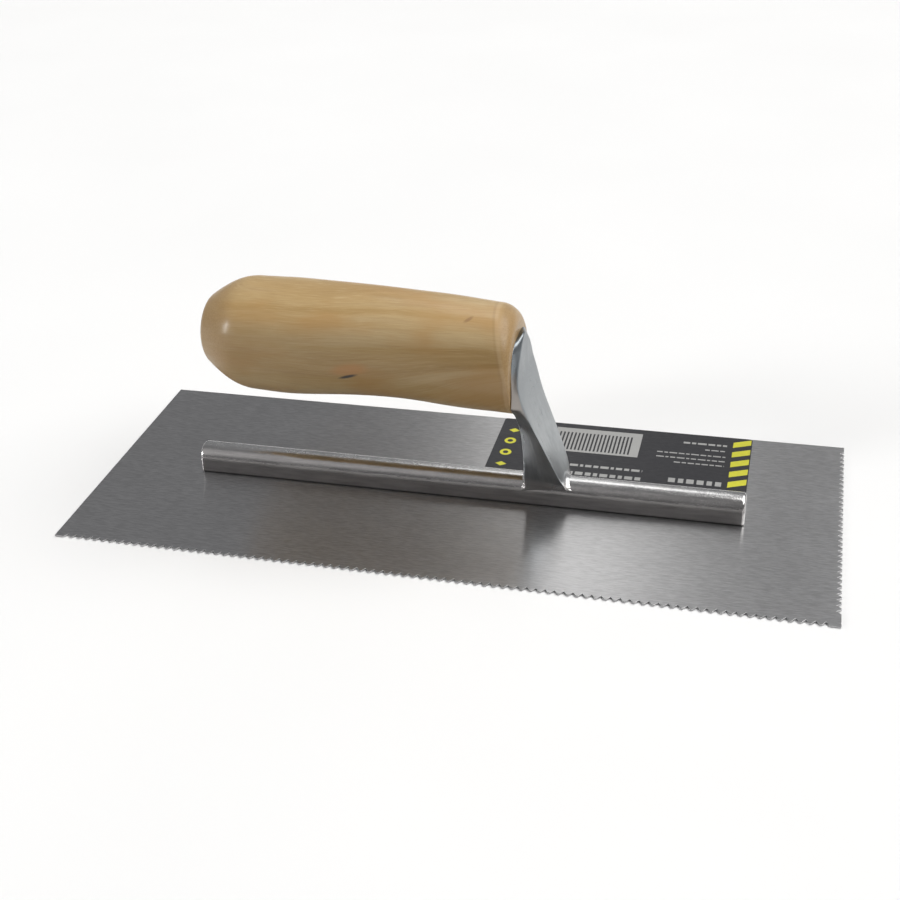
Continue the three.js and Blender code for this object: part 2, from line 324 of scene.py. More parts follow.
# height, rear face ahead of the flange plane, half width there, front face, half width,
# depth of the hollow down the front face, ease of the rear edges, ease of the front edges
SHANK_KEYS = [
    (5.0, 2.4, 5.38, 19.4, 3.6, 0.0, 0.5, 0.5),
    (7.5, 2.3, 5.4, 18.6, 4.6, 0.1, 0.5, 0.5),
    (10.0, 2.2, 5.4, 17.7, 6.0, 0.35, 0.5, 0.45),
    (14.0, 2.1, 5.4, 16.3, 8.3, 0.7, 0.5, 0.4),
    (18.0, 2.1, 5.4, 14.8, 9.4, 0.9, 0.5, 0.4),
    (26.0, 1.7, 5.4, 11.7, 10.9, 0.85, 0.5, 0.45),
    (32.0, 0.9, 5.4, 9.3, 11.8, 0.7, 0.6, 0.5),
    (35.5, 0.1, 5.8, 7.9, 12.4, 0.55, 0.8, 0.6),
    (40.0, 0.0, 9.3, 6.3, 13.4, 0.4, 0.8, 1.4),
    (44.0, 0.0, 13.8, 5.0, 14.3, 0.25, 0.7, 1.6),
    (45.6, 0.0, 15.3, 4.5, 14.5, 0.2, 0.6, 1.4),
    (48.0, 0.0, 15.3, 3.8, 14.6, 0.1, 0.5, 1.0),
    (51.0, 0.0, 15.0, 3.0, 14.6, 0.0, 0.5, 0.8),
    (54.0, 0.0, 14.7, 2.4, 14.1, 0.0, 0.5, 0.8),
    (58.0, 0.0, 14.3, 2.2, 12.2, 0.0, 0.6, 0.8),
]
FLANGE_WAIST_Z = 49.0
FLANGE_FRONT_HALF = 14.6
REAR_TOP_Z = 67.8
FRONT_TOP_Z = 68.7
ARCH_SPRING_Z = 54.5
RIM_ROUND = 0.7
REAR_FILLET = 1.4
FRONT_FILLET = 1.7


def bar_top(y):
    """Height of the bar's rounded top at a distance from its middle."""
    inside = max(0.0, BAR_HALF_WIDTH ** 2 - y * y)
    return BAR_SHOULDER_Z + math.sqrt(inside)


def fillet(radius, height):
    """How far a fillet on the bar's top reaches out at a height above that top."""
    if height >= radius:
        return 0.0
    depth = radius - max(0.0, height)
    return radius - math.sqrt(radius * radius - depth * depth)


def rounded_outline(corners, radii, arc_steps, side_steps):
    """Points round a polygon whose corners are eased, the same number for every polygon."""
    count = len(corners)
    cuts = []
    for i, corner in enumerate(corners):
        before, after = corners[i - 1], corners[(i + 1) % count]
        to_before, to_after = before - corner, after - corner
        reach = min(radii[i], 0.45 * to_before.length, 0.45 * to_after.length)
        cuts.append((corner + to_before.normalized() * reach, corner, corner + to_after.normalized() * reach))
    points = []
    for i, (first, corner, last) in enumerate(cuts):
        for k in range(arc_steps + 1):
            t = k / arc_steps
            points.append(first * (1 - t) ** 2 + corner * 2 * t * (1 - t) + last * t * t)
        following = cuts[(i + 1) % count][0]
        for k in range(1, side_steps):
            points.append(last.lerp(following, k / side_steps))
    return points


def shank_levels():
    """Heights of the rings: close together at the foot's fillet and towards the rounded crown."""
    foot = [5.0 + 0.3 * i for i in range(32)]
    middle = [lerp(foot[-1], FLANGE_WAIST_Z, i / 44) for i in range(1, 45)]
    crown_steps = 44
    crown = [math.sin(math.pi / 2 * i / crown_steps) for i in range(1, crown_steps + 1)]
    return [(z, z) for z in foot + middle] + [
        (lerp(FLANGE_WAIST_Z, REAR_TOP_Z, s), lerp(FLANGE_WAIST_Z, FRONT_TOP_Z, s)) for s in crown
    ]


def shank_ring(rear_z, front_z):
    rear, rear_half, front, front_half, hollow, rear_ease, front_ease = smooth_through(SHANK_KEYS, rear_z)
    if rear_z > ARCH_SPRING_Z:
        rise = (rear_z - ARCH_SPRING_Z) / (REAR_TOP_Z - ARCH_SPRING_Z)
        rear_half *= max(0.0, 1 - 0.9999 * rise ** 3) ** (1 / 3)
    if front_z > FLANGE_WAIST_Z:
        rise = (front_z - FLANGE_WAIST_Z) / (FRONT_TOP_Z + 0.3 - FLANGE_WAIST_Z)
        front_half = FLANGE_FRONT_HALF * (1 - rise ** 2.2)
    lean = max(0.0, front_z - (FRONT_TOP_Z - RIM_ROUND)) / RIM_ROUND
    front -= RIM_ROUND * 0.7 * (1 - math.sqrt(max(0.0, 1 - lean * lean)))
    corners = [Vector((rear, rear_half)), Vector((rear, -rear_half)),
               Vector((front, -front_half)), Vector((front, front_half))]
    outline = rounded_outline(corners, [rear_ease, rear_ease, front_ease, front_ease], 6, 18)
    ring = []
    for offset, y in outline:
        share = smoothstep(rear, front, offset)
        z = lerp(rear_z, front_z, share)
        if share > 0.5:
            offset -= hollow * max(0.0, 1 - (y / front_half) ** 2) ** 1.5
        above = z - bar_top(y)
        offset += lerp(-fillet(REAR_FILLET, above), fillet(FRONT_FILLET, above), share)
        ring.append((FLANGE_X + offset, y, z))
    return ring


def make_mounting():
    bm = bmesh.new()
    make_bar(bm)
    skin(bm, [shank_ring(rear_z, front_z) for rear_z, front_z in shank_levels()])
    spigot = [(0, -1), (SPIGOT_RADIUS, -1), (SPIGOT_RADIUS, SPIGOT_LENGTH - 0.6),
              (SPIGOT_RADIUS - 0.6, SPIGOT_LENGTH), (0, SPIGOT_LENGTH)]
    turned(bm, spigot, along_bolt, segments=48)
    mounting = object_from("mounting_casting", bm)
    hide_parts("mounting")
    return mounting


# ---------------------------------------------------------------- handle and its bolt

def handle_centre(distance):
    along = min(1.0, max(-1.0, (distance - GRIP_MIDDLE) / GRIP_MIDDLE))
    return HANDLE_FRONT_Z + HANDLE_RISE * distance + GRIP_BOW * (1 + math.cos(math.pi * along)) / 2


# distance behind the flange and radius, from the shoulder to the start of the domed rear end
GRIP_KEYS = [
    (8, 19.4), (12, 19.55), (23, 19.8), (40, 19.65), (60, 20.2), (82, 21.2), (90, 21.1), (96, 20.9),
]


def handle_profile():
    """(radius, distance) from the mouth of the front hole round the outside to the counterbore."""
    face = HANDLE_FACE_RADIUS
    shoulder = SHOULDER_LENGTH
    points = [(SPIGOT_RADIUS + FIT_GAP, 0.0), (9, 0.0), (face, 0.0)]
    points += bezier((face, 0), (15.8, 0.2), (19.2, 2.9), (HANDLE_FRONT_RADIUS, shoulder), 22)
    points += [(smooth_through(GRIP_KEYS, shoulder + i)[0], shoulder + i) for i in range(1, 89)]
    points += bezier((20.9, 96), (20.9, 102.5), (18.8, 107), (13.3, 114.2), 24)
    mouth = COUNTERBORE_RADIUS
    dome = bezier((13.3, 114.2), (11.5, 116.6), (7, HANDLE_LENGTH), (0, HANDLE_LENGTH), 24)
    points += [point for point in dome if point[0] > mouth + 0.7]
    rim = points[-1][1] + 0.12
    points += [(mouth + 0.45, rim), (mouth + 0.12, rim - 0.15), (mouth, rim - 0.55)]
    return points


def shoulder_share(y, z):
    """How much of the slanting shoulder's rounding there is in a direction round the handle."""
    level = y * math.sin(SHOULDER_TILT) + z * math.cos(SHOULDER_TILT)
    return max(SHARE_LEAST, SHARE_MIDDLE + SHARE_SWING * level)


def on_handle(x, y, distance):
    """Places a point of the round handle: the shoulder fades down its sides, the grip is bowed."""
    margin = 0.01
    radius = math.hypot(x, y)
    if radius > HANDLE_FACE_RADIUS - margin and distance < SHOULDER_LENGTH + margin:
        share = shoulder_share(y / radius, x / radius)
        grown = HANDLE_FRONT_RADIUS - (HANDLE_FRONT_RADIUS - radius) * share
        x, y, distance = x * grown / radius, y * grown / radius, distance * share
    return Vector((FLANGE_X - distance, y, handle_centre(distance) + x))


def make_handle():
    bore_floor = HANDLE_LENGTH - COUNTERBORE_DEPTH
    hole_floor = SPIGOT_LENGTH + 1
    outside = handle_profile()
    inside = [(COUNTERBORE_RADIUS, bore_floor), (WASHER_INNER, bore_floor), (WASHER_INNER, hole_floor),
              (SPIGOT_RADIUS + FIT_GAP, hole_floor)]
    profile = outside + inside
    outer_points = len(outside)

    bm = bmesh.new()
    segments = 112
    rows = []
    for index, (radius, distance) in enumerate(profile):
        put = on_handle if index < outer_points - 3 else along_bolt
        angles = [2 * math.pi * i / segments for i in range(segments)]
        rows.append([bm.verts.new(put(radius * math.cos(a), radius * math.sin(a), distance)) for a in angles])
    for first, second in zip(rows, rows[1:] + rows[:1]):
        for i in range(segments):
            j = (i + 1) % segments
            bm.faces.new((first[i], first[j], second[j], second[i]))
    handle = object_from("handle_wood", bm, smooth_angle=40)
    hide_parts("handle")
    return handle


WASHER_SEAT = HANDLE_LENGTH - COUNTERBORE_DEPTH + FIT_GAP
BOLT_SEAT = WASHER_SEAT + WASHER_THICKNESS + FIT_GAP


def make_washer():
    near, far = WASHER_SEAT, WASHER_SEAT + WASHER_THICKNESS
    edge = 0.2
    ring = [
        (WASHER_INNER, near + edge), (WASHER_INNER + edge, near), (WASHER_OUTER - edge, near),
        (WASHER_OUTER, near + edge), (WASHER_OUTER, far - edge), (WASHER_OUTER - edge, far),
        (WASHER_INNER + edge, far), (WASHER_INNER, far - edge), (WASHER_INNER, near + edge),
    ]
    bm = bmesh.new()
    turned(bm, ring, along_bolt)
    bmesh.ops.remove_doubles(bm, verts=bm.verts, dist=1e-5)
    washer = object_from("handle_washer_detail", bm)
    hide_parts("handle_washer")
    return washer


def make_bolt():
    """A slotted bolt with a low domed head and an eased rim."""
    crown = BOLT_SEAT + BOLT_HEAD_HEIGHT
    head = BOLT_HEAD_RADIUS
    profile = [
        (0, BOLT_TIP), (BOLT_RADIUS - 0.6, BOLT_TIP), (BOLT_RADIUS, BOLT_TIP + 0.8), (BOLT_RADIUS, BOLT_SEAT),
        (head - 0.2, BOLT_SEAT), (head, BOLT_SEAT + 0.2), (head, crown - 1.4),
    ]
    profile += bezier((head, crown - 1.4), (head, crown - 0.6), (head - 1.4, crown), (0, crown), 10)[:-1]
    profile.append((0, crown))
    bm = bmesh.new()
    turned(bm, profile, along_bolt)
    bolt = object_from("handle_bolt_detail", bm)
    cutter_bm = bmesh.new()
    half = BOLT_SLOT_WIDTH / 2
    ring = [(-half, -9), (half, -9), (half, 9), (-half, 9)]
    heights = (crown - BOLT_SLOT_DEPTH, crown + 2)
    skin(cutter_bm, [[along_bolt(x, y, d) for x, y in ring] for d in heights])
    cut(bolt, object_from("slot_cutter", cutter_bm))
    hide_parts("handle_bolt")
    return bolt


def cut(target, cutter):
    """Cuts one object out of another for good and deletes the cutter."""
    modifier = target.modifiers.new("cut", "BOOLEAN")
    modifier.operation = "DIFFERENCE"
    modifier.solver = "EXACT"
    modifier.object = cutter
    shaped = bpy.data.meshes.new_from_object(target.evaluated_get(bpy.context.evaluated_depsgraph_get()))
    target.modifiers.clear()
    target.data = shaped
    shaped.set_sharp_from_angle(angle=math.radians(35))
    bpy.data.objects.remove(cutter)


# ---------------------------------------------------------------- label

LABEL_INK = 0.02
STRIPE_PITCH = 7.4
STRIPE_RISE = 3.0
STRIPE_HEIGHT = 4.0


def rounded_rectangle(low_x, low_y, high_x, high_y, radius):
    steps = 6
    points = []
    centres = [(high_x - radius, low_y + radius, -90), (high_x - radius, high_y - radius, 0),
               (low_x + radius, high_y - radius, 90), (low_x + radius, low_y + radius, 180)]
    for x, y, start in centres:
        for i in range(steps + 1):
            angle = math.radians(start + 90 * i / steps)
            points.append((x + radius * math.cos(angle), y + radius * math.sin(angle)))
    return points


def print_layer(name, shapes, top):
    """Flat printed shapes as one thin layer of ink on the film; a shape may hold holes."""
    curve = bpy.data.curves.new(name, "CURVE")
    curve.dimensions = "2D"
    curve.fill_mode = "BOTH"
    curve.extrude = LABEL_INK / 2 * MM
    for points in shapes:
        add_spline(curve, points)
    temporary = bpy.data.objects.new(name + "_outline", curve)
    mesh = bpy.data.meshes.new_from_object(temporary)
    mesh.transform(Matrix.Translation((0, 0, (top + LABEL_INK / 2) * MM)))
    bpy.data.objects.remove(temporary)
    bm = bmesh.new()
    bm.from_mesh(mesh)
    bpy.data.meshes.remove(mesh)
    bmesh.ops.remove_doubles(bm, verts=bm.verts, dist=1e-7)
    bmesh.ops.scale(bm, vec=(1 / MM,) * 3, verts=bm.verts)
    layer = object_from(name, bm, smooth_angle=20)
    return layer


def stripe(low_x, high_x, middle):
    half = STRIPE_HEIGHT / 2
    rise = STRIPE_RISE / 2
    return [(low_x, middle - rise - half), (high_x, middle + rise - half),
            (high_x, middle + rise + half), (low_x, middle - rise + half)]


def rectangle(low_x, low_y, high_x, high_y):
    return [(low_x, low_y), (high_x, low_y), (high_x, high_y), (low_x, high_y)]


def dashes(low_x, high_x, middle, height, lengths, gap):
    """A printed line shown as a run of plain dashes."""
    shapes = []
    x = low_x
    index = 0
    while x < high_x:
        end = min(high_x, x + lengths[index % len(lengths)])
        shapes.append(rectangle(x, middle - height / 2, end, middle + height / 2))
        x = end + gap
        index += 1
    return shapes


def make_label():
    low, high = node_box("label")
    top = high.z
    film = plate_from("label_film", [rounded_rectangle(low.x, low.y, high.x, high.y, 1.2)],
                      low.z, high.z, 0.05)
    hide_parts("label")

    column_x = low.x + 5.6
    yellow = [stripe(high.x - 7.2, high.x - 0.4, 52.6 - STRIPE_PITCH * i) for i in range(5)]
    for middle in (39.3, 30.3):
        yellow += [circle(column_x, middle, 2.3), circle(column_x, middle, 1.1)]
    for middle in (47.6, 21.4):
        yellow.append([(column_x - 2.2, middle), (column_x, middle - 1.6),
                       (column_x + 2.2, middle), (column_x, middle + 1.6)])

    panel = [rectangle(27.5, 35.2, 62, 53.4)]
    hatch_pitch = 1.5
    panel += [rectangle(29.2 + hatch_pitch * i, 36.6, 29.9 + hatch_pitch * i, 50.2) for i in range(20)]
    lines = dashes(78.4, 95.3, 49.9, 1.3, (2.6, 1.6, 3.4), 0.7)
    lines += dashes(87.2, 95.3, 45.6, 0.8, (1.8, 2.8), 0.6)
    lines += dashes(69.0, 95.3, 41.3, 0.8, (2.2, 1.4, 3.0), 0.6)
    lines += dashes(69.0, 95.3, 37.9, 0.8, (3.0, 1.2, 2.0), 0.6)
    lines += dashes(76.2, 95.3, 34.5, 0.8, (2.4, 1.7), 0.6)
    lines += dashes(34.5, 65.2, 25.4, 1.6, (1.9, 3.2, 1.2, 2.4), 0.8)
    lines += dashes(34.5, 65.2, 19.6, 2.2, (2.2, 1.6, 3.0), 0.9)
    lines += dashes(75.5, 95.3, 21.2, 3.0, (2.6, 2.0, 2.8), 1.1)
    return film, print_layer("label_yellow", yellow, top), print_layer("label_white", panel + lines, top)


# ---------------------------------------------------------------- material helpers

def add(tree, kind, inputs=None, **settings):
    """A shader node with its settings, and its inputs linked or set."""
    node = tree.nodes.new(kind)
    for key, value in settings.items():
        setattr(node, key, value)
    for key, value in (inputs or {}).items():
        if isinstance(value, bpy.types.NodeSocket):
            tree.links.new(value, node.inputs[key])
        else:
            node.inputs[key].default_value = value
    return node


def object_place(tree):
    return add(tree, "ShaderNodeTexCoord").outputs["Object"]


def stretched(tree, place, scale, shift=(0, 0, 0)):
    return add(tree, "ShaderNodeMapping", {"Vector": place, "Scale": scale, "Location": shift}).outputs[0]


def noise(tree, place, scale=1.0, detail=3.0, rough=0.5, distortion=0.0):
    inputs = {"Vector": place, "Scale": scale, "Detail": detail, "Roughness": rough, "Distortion": distortion}
    return add(tree, "ShaderNodeTexNoise", inputs).outputs["Fac"]


def calc(tree, operation, first, second=0.0, third=0.0):
    inputs = {0: first, 1: second, 2: third}
    return add(tree, "ShaderNodeMath", inputs, operation=operation).outputs[0]


def remap(tree, value, from_low, from_high, to_low=0.0, to_high=1.0, smooth=False):
    kind = "SMOOTHSTEP" if smooth else "LINEAR"
    inputs = {"Value": value, "From Min": from_low, "From Max": from_high}
    inputs.update({"To Min": to_low, "To Max": to_high})
    return add(tree, "ShaderNodeMapRange", inputs, interpolation_type=kind, clamp=True).outputs[0]


def blend(tree, factor, first, second, kind="MIX"):
    node = add(tree, "ShaderNodeMix", data_type="RGBA", blend_type=kind)
    for socket, value in ((node.inputs[0], factor), (node.inputs[6], first), (node.inputs[7], second)):
        if isinstance(value, bpy.types.NodeSocket):
            tree.links.new(value, socket)
        else:
            socket.default_value = value
    return node.outputs[2]


def ramp(tree, factor, stops):
    node = add(tree, "ShaderNodeValToRGB", {"Fac": factor})
    elements = node.color_ramp.elements
    while len(elements) < len(stops):
        elements.new(0.5)
    for element, (position, colour) in zip(elements, stops):
        element.position = position
        element.color = (*colour, 1)
    return node.outputs["Color"]


def split(tree, vector):
    return add(tree, "ShaderNodeSeparateXYZ", {0: vector}).outputs


def product(tree, first, second):
    return calc(tree, "MULTIPLY", first, second)


def size_of(tree, value):
    return calc(tree, "ABSOLUTE", value)


def squared_share(tree, value, whole):
    """The square of a value as a share of a whole."""
    return calc(tree, "POWER", size_of(tree, calc(tree, "DIVIDE", value, whole)), 2.0)


def facing(tree, axis, kind):
    """How squarely the surface faces along an axis, either way: 0 edge-on, 1 face-on."""
    normal = add(tree, "ShaderNodeNewGeometry").outputs[kind]
    return size_of(tree, split(tree, normal)[axis])


def tinted(tree, factor, colour, tint):
    """The colour multiplied by a tint, as far as the factor says."""
    return blend(tree, factor, colour, blend(tree, 1.0, colour, (*tint, 1), kind="MULTIPLY"))


def bump(tree, height, distance, strength=1.0, normal=None):
    inputs = {"Height": height, "Distance": distance, "Strength": strength}
    if normal is not None:
        inputs["Normal"] = normal
    return add(tree, "ShaderNodeBump", inputs).outputs[0]


def new_material(name, **constants):
    """A material with a Principled shader; constants are set on the shader's own sockets."""
    material = bpy.data.materials.new(name)
    material.use_nodes = True
    tree = material.node_tree
    shader = tree.nodes["Principled BSDF"]
    for key, value in constants.items():
        shader.inputs[key.replace("_", " ")].default_value = value
    return material, tree, shader


def wear(tree, shader, socket, value):
    tree.links.new(value, shader.inputs[socket])


# ---------------------------------------------------------------- materials

def brushed_steel():
    """Steel sheet ground along its length: short fine strokes, a little darker in patches."""
    material, tree, shader = new_material("brushed_blade_steel", Metallic=1.0, Anisotropic=0.95)
    place = object_place(tree)
    fine = noise(tree, stretched(tree, place, (420, 4600, 4600)), detail=2, rough=0.6)
    strokes = noise(tree, stretched(tree, place, (240, 2100, 2100), (3, 0, 0)), detail=3, rough=0.6)
    patches = noise(tree, stretched(tree, place, (14, 40, 40)), detail=3, rough=0.5)
    grain = calc(tree, "MULTIPLY_ADD", fine, 0.4, product(tree, strokes, 0.6))
    colour = ramp(tree, grain, [(0.4, (0.44, 0.44, 0.445)), (0.6, (0.61, 0.61, 0.615))])
    colour = blend(tree, remap(tree, patches, 0.35, 0.7, 0, 0.25), colour, (0.42, 0.42, 0.425, 1))
    wear(tree, shader, "Base Color", colour)
    roughness = remap(tree, grain, 0.35, 0.65, 0.31, 0.37)
    wear(tree, shader, "Roughness", roughness)
    tangent = add(tree, "ShaderNodeTangent", direction_type="RADIAL", axis="X").outputs[0]
    wear(tree, shader, "Tangent", tangent)
    waviness = noise(tree, stretched(tree, place, (9, 16, 9)), detail=1)
    rolling = bump(tree, waviness, 0.0004, 0.3)
    wear(tree, shader, "Normal", bump(tree, grain, 0.00005, 0.55, rolling))
    return material


def cast_aluminium():
    """Die-cast aluminium: blue-grey and satin on the shank, greyer on the bar, near black at its foot from
    grime and painted contact shade.
    """
    material, tree, shader = new_material("satin_cast_aluminium", Metallic=1.0)
    place = object_place(tree)
    pitting = noise(tree, place, scale=1500, detail=3, rough=0.6)
    cloud = noise(tree, stretched(tree, place, (60, 60, 40)), detail=4, rough=0.6)
    streaks = noise(tree, stretched(tree, place, (420, 420, 70), (2, 0, 1)), detail=4, rough=0.65)
    rubbed = noise(tree, stretched(tree, place, (70, 900, 700)), detail=4, rough=0.65)
    height = split(tree, place)["Z"]
    sideways = facing(tree, "Y", "Normal")

    # the bar ends and the shank starts at its rounded top; the flange's rim starts under the handle
    on_bar = remap(tree, height, 0.0125, 0.0095)
    on_web = product(tree, remap(tree, height, 0.0105, 0.012), remap(tree, height, 0.042, 0.036))
    below_rim = remap(tree, height, 0.044, 0.04)
    on_rim = remap(tree, height, 0.04, 0.046)

    # the flat sides of the bar and the web were left duller than the rest, and their colour carries painted
    # shade
    web_sides = product(tree, remap(tree, sideways, 0.45, 0.75, 0, 0.75, smooth=True), on_web)
    flat_sides = product(tree, remap(tree, sideways, 0.85, 0.985, smooth=True), below_rim)
    sides = calc(tree, "MAXIMUM", flat_sides, web_sides)

    tone = calc(tree, "MULTIPLY_ADD", cloud, 0.5, product(tree, streaks, 0.5))
    shank = ramp(tree, tone, [(0.36, (0.32, 0.338, 0.35)), (0.64, (0.48, 0.5, 0.51))])
    # painted shade: the shank's colour darkens towards the top of its flange
    shank = blend(tree, remap(tree, height, 0.03, 0.056, 0, 0.9), shank, (0.19, 0.21, 0.225, 1))
    # painted reflection: the flange rim's sides are tinted warm brown, like the wooden handle seen in them
    rim = product(tree, remap(tree, sideways, 0.55, 0.85, 0, 0.8), on_rim)
    shank = blend(tree, rim, shank, (0.35, 0.315, 0.285, 1))
    bar = ramp(tree, rubbed, [(0.34, (0.57, 0.555, 0.55)), (0.66, (0.74, 0.72, 0.71))])
    # painted shade: the flat sides of the bar and the web are darkened here
    colour = tinted(tree, sides, blend(tree, on_bar, shank, bar), (0.56, 0.55, 0.55))
    # grime and painted contact shade: the casting turns near black along its joint with the blade
    grime_and_contact_shade = remap(tree, height, 0.0016, 0.0009, 0, 0.9, smooth=True)
    wear(tree, shader, "Base Color", blend(tree, grime_and_contact_shade, colour, (0.035, 0.034, 0.033, 1)))

    satin = remap(tree, tone, 0.36, 0.64, 0.25, 0.36)
    tumbled = calc(tree, "MULTIPLY_ADD", sides, 0.1, remap(tree, rubbed, 0.34, 0.66, 0.175, 0.235))
    difference = calc(tree, "SUBTRACT", tumbled, satin)
    wear(tree, shader, "Roughness", calc(tree, "MULTIPLY_ADD", on_bar, difference, satin))

    lumps = noise(tree, place, scale=220, detail=2, rough=0.5)
    base = bump(tree, lumps, 0.0003, 0.3)
    drawn = bump(tree, streaks, 0.00004, 0.3, base)
    wear(tree, shader, "Normal", bump(tree, pitting, 0.00005, 0.4, drawn))
    return material


def knot_mark(tree, place, centre, size, slope):
    """1 at the middle of a small dark mark on the wood, falling to 0 at its rim."""
    inputs = {0: place, 1: [c * MM for c in centre]}
    parts = split(tree, add(tree, "ShaderNodeVectorMath", inputs, operation="SUBTRACT").outputs[0])
    level = calc(tree, "MULTIPLY_ADD", parts["X"], -slope, parts["Z"])
    along = squared_share(tree, parts["X"], size[0] * MM)
    across = squared_share(tree, level, size[1] * MM)
    near_side = calc(tree, "LESS_THAN", parts["Y"], 0.012)
    spread = calc(tree, "SQRT", calc(tree, "ADD", along, across))
    return product(tree, remap(tree, spread, 0.35, 1.0, 1.0, 0.0, smooth=True), near_side)


def shoulder_edge(tree, x, y, z):
    """Distance behind the slanting line where the turned shoulder starts."""
    slant = calc(tree, "MULTIPLY_ADD", y, 0.0805, calc(tree, "MULTIPLY_ADD", z, 0.2243, -0.00945))
    start = calc(tree, "MAXIMUM", slant, 0.0021)
    return calc(tree, "SUBTRACT", calc(tree, "SUBTRACT", FLANGE_X * MM, x), start)


def varnished_wood():
    """Pale close-grained hardwood under thin satin varnish, its grain along the handle."""
    material, tree, shader = new_material(
        "varnished_handle_wood", Coat_Weight=0.3, Coat_Roughness=0.2, Specular_IOR_Level=0.3)
    place = object_place(tree)
    parts = split(tree, place)
    x, y, z = (parts[name] for name in "XYZ")

    # the grain sweeps upwards near the flange, low on the handle
    run = calc(tree, "MAXIMUM", calc(tree, "ADD", x, 0.04), 0.0)
    sweep = product(tree, product(tree, run, run), -4.2)
    low_down = remap(tree, z, 0.072, 0.056, smooth=True)
    swept = calc(tree, "MULTIPLY_ADD", sweep, low_down, z)
    wander = noise(tree, stretched(tree, place, (16, 40, 40)), detail=2)
    layer = calc(tree, "MULTIPLY_ADD", wander, 0.008, swept)
    layer = calc(tree, "MULTIPLY_ADD", y, 0.35, layer)
    inputs = {"X": x, "Y": product(tree, y, 0.2), "Z": layer}
    grain_place = add(tree, "ShaderNodeCombineXYZ", inputs).outputs[0]

    bands = noise(tree, stretched(tree, grain_place, (6, 40, 120)), detail=3, rough=0.5)
    streaks = noise(tree, stretched(tree, grain_place, (26, 300, 480)), detail=3, rough=0.6)
    fibres = noise(tree, stretched(tree, grain_place, (120, 2600, 3400)), detail=4, rough=0.7)
    clouds = noise(tree, stretched(tree, place, (30, 60, 70), (5, 1, 2)), detail=3)

    colour = ramp(tree, bands, [
        (0.34, (0.37, 0.235, 0.09)), (0.46, (0.45, 0.305, 0.135)),
        (0.58, (0.505, 0.37, 0.195)), (0.72, (0.565, 0.43, 0.25)),
    ])
    colour = blend(tree, remap(tree, streaks, 0.5, 0.72, 0, 0.3), colour, (0.31, 0.18, 0.065, 1))
    colour = blend(tree, remap(tree, fibres, 0.52, 0.72, 0, 0.38), colour, (0.3, 0.18, 0.07, 1))
    colour = blend(tree, remap(tree, fibres, 0.48, 0.29, 0, 0.28), colour, (0.68, 0.54, 0.34, 1))
    colour = blend(tree, remap(tree, clouds, 0.47, 0.64, 0, 0.55), colour, (0.44, 0.25, 0.085, 1))

    # painted shade: the wood is a little darker down its sides and browner underneath, most of all at the
    # grip
    painted_side_shade = remap(tree, z, 0.078, 0.067, 0, 1, smooth=True)
    colour = tinted(tree, painted_side_shade, colour, (0.67, 0.655, 0.62))
    shade = remap(tree, z, 0.066, 0.052, 0, 1, smooth=True)
    shade = product(tree, shade, remap(tree, x, -0.07, -0.03, 0.1, 0.8))
    colour = tinted(tree, shade, colour, (0.9, 0.87, 0.78))

    # end grain on the dome and the shoulder takes the varnish a little pinker
    end_grain = remap(tree, facing(tree, "X", "True Normal"), 0.12, 0.5, 0, 0.7, smooth=True)
    pores = noise(tree, place, scale=1800, detail=2)
    end_colour = ramp(tree, pores, [(0.3, (0.295, 0.183, 0.08)), (0.7, (0.385, 0.254, 0.115))])
    colour = blend(tree, end_grain, colour, end_colour)

    # painted shade and highlight: where the turned shoulder starts, a faint dark line and a paler band in
    # front of it
    behind = shoulder_edge(tree, x, y, z)
    line = remap(tree, size_of(tree, behind), 0.0007, 0.0002, 0, 0.17, smooth=True)
    colour = blend(tree, line, colour, (0.25, 0.15, 0.07, 1))
    from_band = size_of(tree, calc(tree, "ADD", behind, 0.0011))
    painted_highlight_band = remap(tree, from_band, 0.0011, 0.0002, 0, 0.14, smooth=True)
    colour = blend(tree, painted_highlight_band, colour, (0.7, 0.53, 0.36, 1))

    knot = knot_mark(tree, place, (-34.3, -19.5, 56.0), (4.6, 0.9), 0.3)
    halo = knot_mark(tree, place, (-33.5, -19.8, 59.0), (9, 3.4), 0.15)
    fleck = knot_mark(tree, place, (7.6, -8.8, 76.4), (1.9, 0.6), 0.3)
    colour = blend(tree, product(tree, halo, 0.55), colour, (0.36, 0.16, 0.05, 1))
    colour = blend(tree, product(tree, knot, 0.95), colour, (0.03, 0.028, 0.028, 1))
    colour = blend(tree, product(tree, fleck, 0.5), colour, (0.2, 0.1, 0.05, 1))
    wear(tree, shader, "Base Color", colour)
    wear(tree, shader, "Roughness", remap(tree, streaks, 0.3, 0.7, 0.42, 0.56))

    ripple = noise(tree, stretched(tree, place, (130, 30, 30)), detail=1)
    base = bump(tree, ripple, 0.0004, 0.12)
    wear(tree, shader, "Normal", bump(tree, fibres, 0.00006, 0.35, base))
    return material


def printed_film(name, colour, scuffed):
    """Printed label film: a soft satin sheen, slight mottling and small scuffs."""
    material, tree, shader = new_material(name)
    place = object_place(tree)
    mottle = noise(tree, place, scale=700, detail=3, rough=0.6)
    scuffs = noise(tree, stretched(tree, place, (260, 1100, 300)), detail=4, rough=0.7)
    base = blend(tree, remap(tree, mottle, 0.35, 0.7, 0, 0.35), (*colour, 1), (*scuffed, 1))
    base = blend(tree, remap(tree, scuffs, 0.62, 0.75, 0, 0.4), base, (*scuffed, 1))
    wear(tree, shader, "Base Color", base)
    wear(tree, shader, "Roughness", remap(tree, scuffs, 0.35, 0.7, 0.34, 0.5))
    wear(tree, shader, "Normal", bump(tree, mottle, 0.00003, 0.25))
    return material


